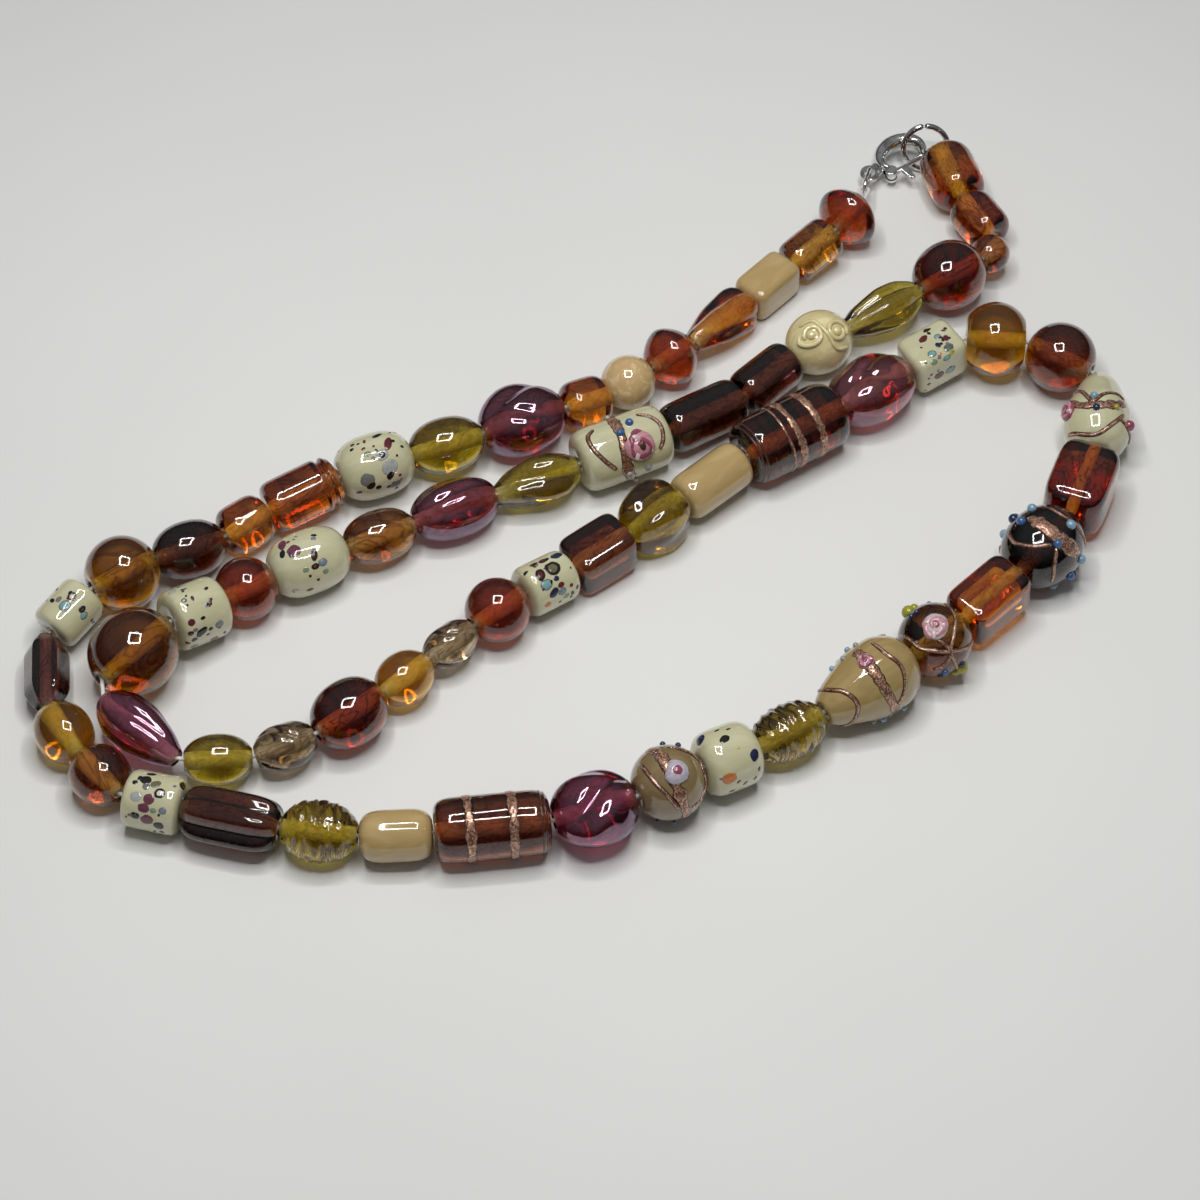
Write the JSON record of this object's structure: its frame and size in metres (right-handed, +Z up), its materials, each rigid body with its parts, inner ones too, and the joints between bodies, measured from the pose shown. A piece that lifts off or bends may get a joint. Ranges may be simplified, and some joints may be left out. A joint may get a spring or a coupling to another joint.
{
  "type": "beaded necklace",
  "caption": "Long necklace of mixed lampwork glass beads on a thread, closed by a small lobster clasp through an open jump ring, lying folded in strands on a table.",
  "frame": {"origin": "bottom centre of the whole necklace's bounding box, on the table", "axes": "+X to the right along the strands, +Y towards the clasp's end, +Z up from the table"},
  "size_m": [0.1858, 0.161, 0.0146],
  "materials": {
    "amber": "polished clear amber glass",
    "rust": "polished rust-red glass",
    "brown": "polished brown glass",
    "dark_brown": "polished very dark brown glass",
    "olive": "polished olive glass",
    "olive_brown": "polished olive-brown glass",
    "plum": "faceted plum glass",
    "purple": "purple glass with a metallic lustre",
    "smoke": "twisted smoky glass",
    "cream": "opaque cream glass with small dots",
    "beige": "opaque beige glass",
    "thread": "white beading thread",
    "silver": "polished silver plate"
  },
  "bodies": {
    "necklace": {"bead_14_brown_round": "olive_brown", "bead_15_dotted_cylinder": "cream", "bead_16_plum_hexagon": "plum", "bead_17_olive_round": "olive", "bead_18_striped_oval": "amber", "bead_19_spotted_cylinder": "cream", "bead_20_brown_fluted_oval": "dark_brown", "bead_21_olive_knobbly_oval": "olive", "bead_22_beige_barrel": "beige", "bead_23_banded_cylinder": "brown", "bead_24_magenta_nugget": "purple", "bead_25_eye_round": "beige", "bead_26_dotted_barrel": "cream", "bead_27_olive_knobbly_oval": "olive", "bead_28_rose_egg": "beige", "bead_29_rose_round": "olive_brown", "bead_30_amber_pillow": "amber", "bead_31_bumped_round": "dark_brown", "bead_32_amber_square_barrel": "amber", "bead_33_rose_cone": "cream", "bead_34_rust_round": "rust", "bead_35_gold_round": "olive", "bead_36_dotted_square_barrel": "cream", "bead_37_bronze_nugget": "purple", "bead_38_banded_cylinder": "dark_brown", "bead_39_beige_cylinder": "beige", "bead_40_olive_faceted_nugget": "olive", "bead_41_amber_square_cylinder": "brown", "bead_42_blotched_cylinder": "cream", "bead_43_rust_round": "rust", "bead_44_smoky_twist": "smoke", "bead_45_honey_round": "olive", "bead_46_marbled_oval": "rust", "bead_47_smoky_twist": "smoke", "bead_48_olive_oval": "olive", "bead_49_purple_drop": "purple", "bead_50_large_brown_round": "olive_brown", "bead_51_dotted_cylinder": "cream", "bead_52_rust_round": "rust", "bead_53_speckled_oval": "cream", "clasp_body": "silver", "clasp_link": "silver", "clasp_side_string": "rust", "jump_ring": "silver", "ring_side_string": "amber", "thread": "thread"},
    "lever": {"clasp_lever": "silver"}
  },
  "joints": [
    {"name": "lever_pivot", "type": "hinge", "parent": "necklace", "child": "lever", "pos_m": [0.05494, 0.07199, 0.00281], "axis": [-0.0303, -0.1443, 0.9891], "range_deg": [0, 17], "stiffness_Nm_per_rad": 0.002, "springref_deg": -17.19}
  ]
}
